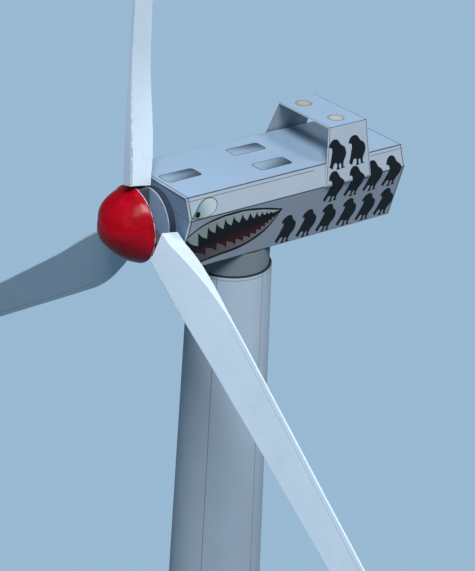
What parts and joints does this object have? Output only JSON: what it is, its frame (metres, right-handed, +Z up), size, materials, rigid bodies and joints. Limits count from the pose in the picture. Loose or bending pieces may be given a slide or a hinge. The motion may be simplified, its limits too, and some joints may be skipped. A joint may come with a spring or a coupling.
{
  "type": "model wind turbine",
  "caption": "Folded-card model wind turbine: six-sided nacelle with a folded bridge, on a slim tapered tower, with a round nose and long twisted blades that spin and yaw.",
  "frame": {"origin": "centre of the tower's round foot, on the surface that it stands on", "axes": "+Z up along the tower, -Y towards the rotor's nose, +X to the nacelle's printed right flank"},
  "size_m": [0.5174, 0.1236, 0.8904],
  "materials": {
    "tower_card": "matt printed card",
    "flank_card": "matt printed card with drawn motifs",
    "roof_card": "matt printed card",
    "plate_card": "matt printed card",
    "hub_card": "matt printed card",
    "blade_card": "smooth white card",
    "spinner_paint": "gloss red paint",
    "shaft_wood": "plain wood"
  },
  "bodies": {
    "tower": {"tower_lower_tube": "tower_card", "tower_upper_tube": "tower_card", "tower_foot_disc": "tower_card", "tower_top_disc": "tower_card"},
    "nacelle": {"neck_tube": "flank_card", "neck_foot_disc": "flank_card", "roof_panel": "roof_card", "right_upper_side": "flank_card", "right_lower_side": "flank_card", "left_upper_side": "flank_card", "left_lower_side": "flank_card", "floor_panel": "flank_card", "front_plate": "plate_card", "rear_plate": "flank_card", "bridge_top": "roof_card", "bridge_leg_right": "flank_card", "bridge_leg_left": "flank_card", "bearing_drum": "plate_card", "bearing_disc": "plate_card"},
    "rotor": {"rotor_shaft": "shaft_wood", "hub_core": "hub_card", "spinner_disc": "spinner_paint", "spinner": "spinner_paint", "blade_socket_1": "hub_card", "blade_socket_2": "hub_card", "blade_socket_3": "hub_card", "blade_1": "blade_card", "blade_2": "blade_card", "blade_3": "blade_card"}
  },
  "joints": [
    {"name": "nacelle_yaw", "type": "hinge", "parent": "tower", "child": "nacelle", "pos_m": [0, 0, 0.56], "axis": [0, 0, 1], "continuous": true},
    {"name": "rotor_spin", "type": "hinge", "parent": "nacelle", "child": "rotor", "pos_m": [0, -0.03443, 0.58556], "axis": [0, -1, 0], "continuous": true}
  ]
}
